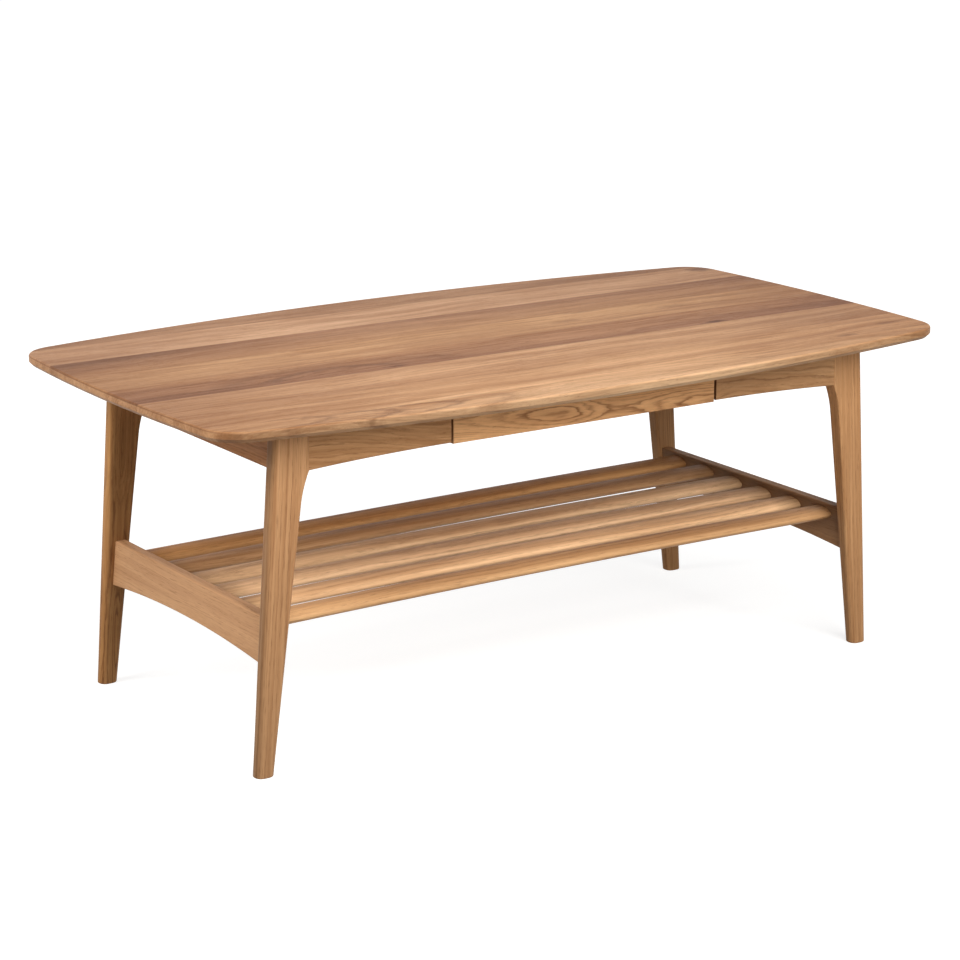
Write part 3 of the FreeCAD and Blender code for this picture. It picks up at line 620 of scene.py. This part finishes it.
def leg_rings(shape, node, side, neck, top_end):
    """Rounded rectangles stacked up a leg, as an array of rows, points and places.

    The outer face is a straight line from foot to head. The width grows evenly from foot to neck,
    where an arc that starts tangent to the inner face swings out to the apron, and above the neck
    the inner face is upright. The corner radii change evenly with height, and a quarter round eases
    the foot's rim. A corner's points lie on a quarter turn about a centre one radius in from it.
    """
    low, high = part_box(node)
    foot_out = max(abs(low.x), abs(high.x))
    head_out = top_end - shape.head_inset
    sweep = math.sqrt(2.0 * shape.haunch_radius * shape.haunch_reach - shape.haunch_reach ** 2)
    rim_rows, leg_rows, haunch_rows, head_rows, corner_points = 6, 24, 18, 6, 9
    rim = np.linspace(0.0, QUARTER, rim_rows)
    height = np.concatenate((shape.foot_ease * (1.0 - np.cos(rim)),
                             np.linspace(shape.foot_ease, neck - sweep, leg_rows)[1:],
                             np.linspace(neck - sweep, neck, haunch_rows)[1:],
                             np.linspace(neck, high.z, head_rows)[1:]))
    inset = np.concatenate((shape.foot_ease * (1.0 - np.sin(rim)), np.zeros(len(height) - len(rim))))
    below = np.minimum(height, neck)
    climb = np.clip(below - (neck - sweep), 0.0, None)
    haunch = shape.haunch_radius - np.sqrt(shape.haunch_radius ** 2 - climb ** 2)
    line = foot_out + (head_out - foot_out) * height / high.z
    line_below = foot_out + (head_out - foot_out) * below / high.z
    width = shape.foot_width + (shape.neck_width - shape.foot_width) * below / neck
    outer, inner = line - inset, line_below - width - haunch + inset
    back, front = high.y - inset, low.y + inset
    outer_round = shape.foot_round + (shape.head_round - shape.foot_round) * height / high.z - inset
    inner_round = shape.foot_round + (shape.neck_round - shape.foot_round) * below / neck - inset
    turn = np.linspace(0.0, QUARTER, corner_points)
    corners = ((outer - outer_round, back - outer_round, outer_round, 0.0),
               (inner + inner_round, back - inner_round, inner_round, QUARTER),
               (inner + inner_round, front + inner_round, inner_round, 2.0 * QUARTER),
               (outer - outer_round, front + outer_round, outer_round, 3.0 * QUARTER))
    columns = []
    for middle_x, middle_y, radius, start in corners:
        columns.append((middle_x[:, None] + radius[:, None] * np.cos(turn + start),
                        middle_y[:, None] + radius[:, None] * np.sin(turn + start)))
    x, y = (np.concatenate(parts, axis=1) for parts in zip(*columns))
    rings = np.stack((side * x, y, np.broadcast_to(height[:, None], x.shape)), axis=-1)
    return rings if side > 0.0 else rings[:, ::-1]


class COFFEETABLE_OT_legs(bpy.types.Operator):
    """Make the four splayed legs, rounder towards the foot, in straight-grained oak"""

    bl_idname = "coffee_table.legs"
    bl_label = "Legs"

    def execute(self, context):
        shape = context.scene.leg_shape
        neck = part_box("end_apron_right")[0].z
        top_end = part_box("table_top")[1].x
        # Seed, tone, contrast, the painted shade at the foot, and the painted light and shade on the left and
        # right faces.
        figures = {"front_right": (2.3, (0.96, 0.94, 0.83), 0.7, 0.80, (1.18, 1.0)),
                   "front_left": (3.3, (0.94, 0.92, 0.83), 0.8, 0.68, (0.74, 1.0)),
                   "back_right": (4.3, (0.89, 0.87, 0.75), 0.8, 0.82, (1.0, 1.0)),
                   "back_left": (5.3, (0.74, 0.68, 0.49), 1.6, 0.78, (1.33, 1.33))}
        for place, (seed, tone, contrast, foot, flank_paint) in figures.items():
            node = "leg_" + place
            side = SIDES[place.split("_")[1]]
            low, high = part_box(node)
            lean = side * math.atan2(shape.head_inset + max(abs(low.x), abs(high.x)) - top_end, high.z)
            figure = {"heart": (0.09, 0.07), "wave": 0.004}
            if contrast > 1.0:
                # The heart line lies just behind the front face, which then shows arches.
                front = (low.y - high.y) / 2
                figure = {"heart": (front + 0.007, 0.006), "wave": 0.008, "ring": 1.1,
                          "swell": (0.006, 0.24, 0.0, 1.4)}
            material = oak(node, seed, (0.0, -QUARTER - lean, 0.0), tone, wander=0.004, band=0.005,
                           contrast=contrast, streak=0.9, foot=foot, flank_paint=flank_paint, **figure)
            skin("shaped_" + node, leg_rings(shape, node, side, neck, top_end), node, material)
        return {"FINISHED"}


class COFFEETABLE_OT_aprons(bpy.types.Operator):
    """Finish the aprons in flat-sawn oak with wavy arches"""

    bl_idname = "coffee_table.aprons"
    bl_label = "Aprons"

    def execute(self, context):
        left = oak("front_apron_left", 8.2, (0.0, 0.14, 0.0), (0.85, 0.82, 0.70), heart=(0.04, -0.09),
                   wander=0.02, wave=0.034, ring=1.5, contrast=1.6)
        right = oak("front_apron_right", 9.6, (0.0, 0.10, 0.0), (0.93, 0.95, 0.87), heart=(0.04, 0.08),
                    wander=0.04, wave=0.040, ring=1.7, contrast=1.5)
        dress("front_apron_left", left)
        dress("front_apron_right", right)
        dress("back_apron", oak("back_apron", 4.4, heart=(-0.06, 0.0), wander=0.03, ring=1.4))
        # The left end apron's darker, redder tone is painted shade under the top's overhang; the right's is
        # plain.
        end_tones = {"right": (0.92, 0.87, 0.76), "left": (0.88, 0.70, 0.50)}
        for number, side in enumerate(SIDES):
            node = "end_apron_" + side
            dress(node, oak(node, 11.5 + number, ALONG_Y, end_tones[side], (0.06, 0.03), wave=0.02, ring=1.3))
        return {"FINISHED"}


def slat_rings(node, bow, lift, tilt, reach):
    """Ovals carried along a slat, as an array of rows, points and places.

    Each section is an ellipse as wide and high as the CAD slat. Its middle follows a parabola that
    is highest half way along, plus the slat's lift and its tilt, which raises its right end. Each
    point of the first and last oval lies as far out as reach gives for its height.
    """
    points, rows = 48, 41
    # Share of the bow that lies above the CAD slat's straight middle. The ends lie below it.
    bow_above = 0.6
    low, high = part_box(node)
    turn = np.linspace(0.0, 2.0 * math.pi, points, endpoint=False)
    along = np.linspace(-1.0, 1.0, rows)[:, None]
    y = (low.y + high.y) / 2 + (high.y - low.y) / 2 * np.cos(turn)
    rise = bow * (bow_above - along ** 2) + lift + tilt * along
    z = (low.z + high.z) / 2 + (high.z - low.z) / 2 * np.sin(turn) + rise
    x = along * reach(z)
    return np.stack((x, np.broadcast_to(y, x.shape), z), axis=-1)


class COFFEETABLE_OT_shelf(bpy.types.Operator):
    """Finish the end stretchers and make the bowed oval slats between them"""

    bl_idname = "coffee_table.shelf"
    bl_label = "Shelf"

    def execute(self, context):
        shape = context.scene.shelf_shape
        # Painted shade on each stretcher's left face and upper edge. The right one's left face looks inwards.
        shades = {"right": (0.50, 0.77), "left": (1.0, 1.0)}
        for number, side in enumerate(SIDES):
            node = "end_stretcher_" + side
            left_face_shade, upper_edge_shade = shades[side]
            dress(node, oak(node, 14.1 + number, ALONG_Y, (0.91, 0.90, 0.86), (0.02, 0.12), wander=0.01,
                            contrast=0.35, streak=0.7, flank_paint=(left_face_shade, 1.0), flank_paint_fade=0.045,
                            top_light_paint=upper_edge_shade))
        low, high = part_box("end_stretcher_right")
        lean = (high.x - low.x - shape.stretcher_thickness) / (high.z - low.z)
        seat = 0.001

        def reach(z):
            """Half length of a slat at a height, whose ends sit in the leaning stretchers."""
            return low.x + (high.z - z) * lean + seat

        # Tone of each slat from front to back, how far it sits above the row, and its tilt.
        slats = (((0.87, 0.86, 0.77), 0.0017, 0.0004), ((1.04, 1.11, 1.13), 0.0006, -0.0003),
                 ((1.04, 1.14, 1.22), 0.0, -0.0006), ((1.04, 1.14, 1.20), -0.0004, 0.0009),
                 ((0.69, 0.66, 0.59), 0.0005, 0.0026), ((0.86, 0.76, 0.56), 0.0001, 0.0026))
        # Painted shadow near both ends of each slat, where it meets the stretchers, and painted light on the
        # side that looks to the front.
        ends, front = (0.53, 0.50, 0.45), (1.34, 1.44, 1.50)
        for number, (tone, lift, tilt) in enumerate(slats, start=1):
            node = "shelf_slat_%d" % number
            bow = shape.front_bow + (shape.back_bow - shape.front_bow) * (number - 1) / (len(slats) - 1)
            material = oak(node, 20.7 + 1.3 * number, tone=tone, heart=(0.05 - 0.02 * number, 0.06),
                           wander=0.02, wave=0.007, ring=2.0, band=0.011, contrast=0.8, streak=0.9,
                           ends=ends, front=front)
            skin("bowed_" + node, slat_rings(node, bow, lift, tilt, reach), node, material)
        return {"FINISHED"}


class COFFEETABLE_OT_drawer(bpy.types.Operator):
    """Finish the drawer: looped oak in front, plain oak round it and plywood below"""

    bl_idname = "coffee_table.drawer"
    bl_label = "Drawer"

    def execute(self, context):
        front = oak("drawer_front", 31.7, (0.0, 0.06, 0.0), (1.33, 1.34, 1.19), heart=(0.0177, -0.009),
                    wander=0.004, wave=0.004, swell=(-0.0034, 0.194, -0.047, 1.9), ring=0.55,
                    contrast=1.6, streak=0.8)
        dress("drawer_front", front)
        box_tone = (1.1, 1.1, 1.12)
        for number, side in enumerate(SIDES):
            node = "drawer_side_" + side
            dress(node, oak(node, 35.2 + number, ALONG_Y, box_tone, contrast=0.6))
        dress("drawer_back", oak("drawer_back", 38.1, tone=box_tone, contrast=0.6))
        dress("drawer_bottom", plywood("drawer_bottom"))
        return {"FINISHED"}


def plywood(node):
    """Plywood with a broad rotary-cut figure on its faces and plies of two directions at its edges."""
    finish = bpy.context.scene.oak_finish
    plies = 5
    material, bench = new_material("oak_plywood")
    low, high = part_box(node)
    seen = bench.node("ShaderNodeTexCoord").outputs
    grain = sawn(bench, {"Place": seen["Object"], "Heart": (0.0, 0.02, low.z - 0.03), "Wander": 0.09,
                         "Wave": 0.05, "Ring": finish.ring * 1.6, "Seed": 39.9})
    _, _, height = bench.split(seen["Object"])
    _, _, upward = bench.split(seen["Normal"])
    level = bench.math("FRACT", bench.between(height, low.z, high.z, 0.0, plies / 2))
    edge = bench.between(bench.math("ABSOLUTE", upward), 0.3, 0.7, 1.0, 0.0)
    end_grain = bench.math("MULTIPLY", edge, bench.between(level, 0.46, 0.54))
    colours = stained(bench, (1.2, 1.2, 1.2))
    finish_oak(bench, grain, colours, finish.contrast * 0.6, 0.6, end_grain)
    return material


class COFFEETABLE_OT_inside(bpy.types.Operator):
    """Finish the rails, runners, blocks and screws under the top"""

    bl_idname = "coffee_table.inside"
    bl_label = "Inside"

    def execute(self, context):
        # Seed of the first piece of each kind.
        rails = {"cross_rail_": 55.1, "drawer_runner_": 58.1}
        blocks = {"corner_block_front_": 56.3, "corner_block_back_": 55.3}
        for number, side in enumerate(SIDES):
            for kind, seed in rails.items():
                dress(kind + side, oak(kind + side, seed + number, ALONG_Y, contrast=0.6))
            for kind, seed in blocks.items():
                dress(kind + side, oak(kind + side, seed + number, contrast=0.6))
        dress("drawer_stop_block", oak("drawer_stop_block", 60.2))
        dress("table_top_screws", plated_steel())
        return {"FINISHED"}


def plated_steel():
    """Zinc-plated steel with a fine uneven lustre."""
    material, bench = new_material("plated_steel")
    seen = bench.node("ShaderNodeTexCoord").outputs
    cloud = bench.noise(bench.vector("MULTIPLY", seen["Object"], (900.0, 900.0, 300.0)), 3.0)[0]
    colour = bench.ramp(cloud, ((0.3, (0.48, 0.47, 0.44)), (0.7, (0.66, 0.65, 0.62))))
    rough = bench.between(cloud, 0.2, 0.8, 0.28, 0.45)
    surface = bench.node("ShaderNodeBsdfPrincipled", {"Base Color": colour, "Roughness": rough})
    surface.inputs["Metallic"].default_value = 1.0
    bench.node("ShaderNodeOutputMaterial", {"Surface": surface.outputs[0]})
    return material


def soft_light(name, place, aim, size, power):
    """Square area light of a size, at a place, turned to aim."""
    lamp = bpy.data.lights.new(name, "AREA")
    lamp.shape = "SQUARE"
    lamp.size = size
    lamp.energy = power
    made = bpy.data.objects.new(name, lamp)
    made.location = place
    made.rotation_euler = (Vector(aim) - Vector(place)).to_track_quat("-Z", "Y").to_euler()
    bpy.context.scene.collection.objects.link(made)


class COFFEETABLE_OT_stage(bpy.types.Operator):
    """Make the pale floor, the soft lights and the camera"""

    bl_idname = "coffee_table.stage"
    bl_label = "Stage"

    def execute(self, context):
        stage = context.scene.coffee_stage
        middle = (0.0, 0.0, 0.3)
        self.make_floor(stage)
        soft_light("front_light", stage.front_place, middle, stage.front_size, stage.front_power)
        soft_light("side_light", stage.side_place, middle, stage.side_size, stage.side_power)
        self.make_sky(context, stage)
        self.make_camera(context, stage)
        return {"FINISHED"}

    def shown_rays(self, bench):
        """One for the rays that show the background, straight, in a reflection or through glass."""
        path = bench.node("ShaderNodeLightPath").outputs
        return bench.math("MAXIMUM", path["Is Camera Ray"],
                          bench.math("MAXIMUM", path["Is Glossy Ray"], path["Is Transmission Ray"]))

    def make_floor(self, stage):
        """Wide floor that looks white apart from the shadows near the table."""
        reach = 40.0
        corners = [(-reach, -reach, 0.0), (reach, -reach, 0.0), (reach, reach, 0.0), (-reach, reach, 0.0)]
        mesh = bpy.data.meshes.new("floor")
        mesh.from_pydata(corners, [], [(0, 1, 2, 3)])
        floor = bpy.data.objects.new("floor", mesh)
        bpy.context.scene.collection.objects.link(floor)
        material, bench = new_material("pale_floor")
        place = bench.node("ShaderNodeTexCoord").outputs["Object"]
        # Ovals about the table, within which the floor shows its shadows.
        shadow_near, shadow_far = 0.5, 1.5
        away = bench.number("LENGTH", bench.vector("MULTIPLY", place, (0.75, 1.0, 1.0)))
        glow = bench.between(away, shadow_near, shadow_far, stage.floor_glow, 1.0)
        matt = bench.node("ShaderNodeBsdfDiffuse", {"Color": (*stage.floor, 1.0)}).outputs[0]
        white = bench.node("ShaderNodeEmission", {"Strength": glow}).outputs[0]
        both = bench.node("ShaderNodeAddShader", {0: matt, 1: white}).outputs[0]
        mixed = bench.node("ShaderNodeMixShader", {0: self.shown_rays(bench), 1: matt, 2: both}).outputs[0]
        bench.node("ShaderNodeOutputMaterial", {"Surface": mixed})
        mesh.materials.append(material)

    def make_sky(self, context, stage):
        """White background that gives only a little light."""
        world = bpy.data.worlds.new("studio")
        world.use_nodes = True
        world.node_tree.nodes.clear()
        bench = Bench(world.node_tree)
        strength = bench.math("MULTIPLY_ADD", self.shown_rays(bench), 1.0 - stage.sky, stage.sky)
        glow = bench.node("ShaderNodeBackground", {"Color": (*WHITE, 1.0), "Strength": strength})
        bench.node("ShaderNodeOutputWorld", {"Surface": glow.outputs[0]})
        context.scene.world = world

    def make_camera(self, context, stage):
        """Camera that sees the table from the photograph's place."""
        lens = bpy.data.cameras.new("camera")
        lens.sensor_width = 36.0
        lens.lens = stage.lens
        lens.shift_x, lens.shift_y = stage.lens_shift
        lens.clip_end = 100.0
        camera = bpy.data.objects.new("camera", lens)
        eye, target = Vector(stage.eye), Vector(stage.target)
        look = (target - eye).to_track_quat("-Z", "Y")
        camera.matrix_world = (Matrix.Translation(eye) @ look.to_matrix().to_4x4()
                               @ Matrix.Rotation(stage.roll, 4, "Z"))
        context.scene.collection.objects.link(camera)
        context.scene.camera = camera
        context.scene.view_settings.view_transform = "Standard"


PIECES = (COFFEETABLE_OT_top, COFFEETABLE_OT_legs, COFFEETABLE_OT_aprons, COFFEETABLE_OT_shelf,
          COFFEETABLE_OT_drawer, COFFEETABLE_OT_inside, COFFEETABLE_OT_stage)
SETTINGS = {"oak_finish": OakFinish, "leg_shape": LegShape, "shelf_shape": ShelfShape,
            "coffee_stage": StageSettings}


class COFFEETABLE_PT_panel(bpy.types.Panel):
    """Lists the pieces of the table and its stage"""

    bl_label = "Oak Coffee Table"
    bl_space_type = "VIEW_3D"
    bl_region_type = "UI"
    bl_category = "Coffee Table"

    def draw(self, context):
        for piece in PIECES:
            self.layout.operator(piece.bl_idname)
        for key, kind in SETTINGS.items():
            box = self.layout.box()
            for name in kind.__annotations__:
                box.prop(getattr(context.scene, key), name)


CLASSES = (*SETTINGS.values(), *PIECES, COFFEETABLE_PT_panel)


def register():
    for item in CLASSES:
        bpy.utils.register_class(item)
    for key, kind in SETTINGS.items():
        setattr(bpy.types.Scene, key, bpy.props.PointerProperty(type=kind))


def unregister():
    for key in SETTINGS:
        delattr(bpy.types.Scene, key)
    for item in reversed(CLASSES):
        bpy.utils.unregister_class(item)


def main():
    register()
    oak_grain()
    bpy.ops.coffee_table.top()
    bpy.ops.coffee_table.legs()
    bpy.ops.coffee_table.aprons()
    bpy.ops.coffee_table.shelf()
    bpy.ops.coffee_table.drawer()
    bpy.ops.coffee_table.inside()
    bpy.ops.coffee_table.stage()


if __name__ == "__main__":
    main()
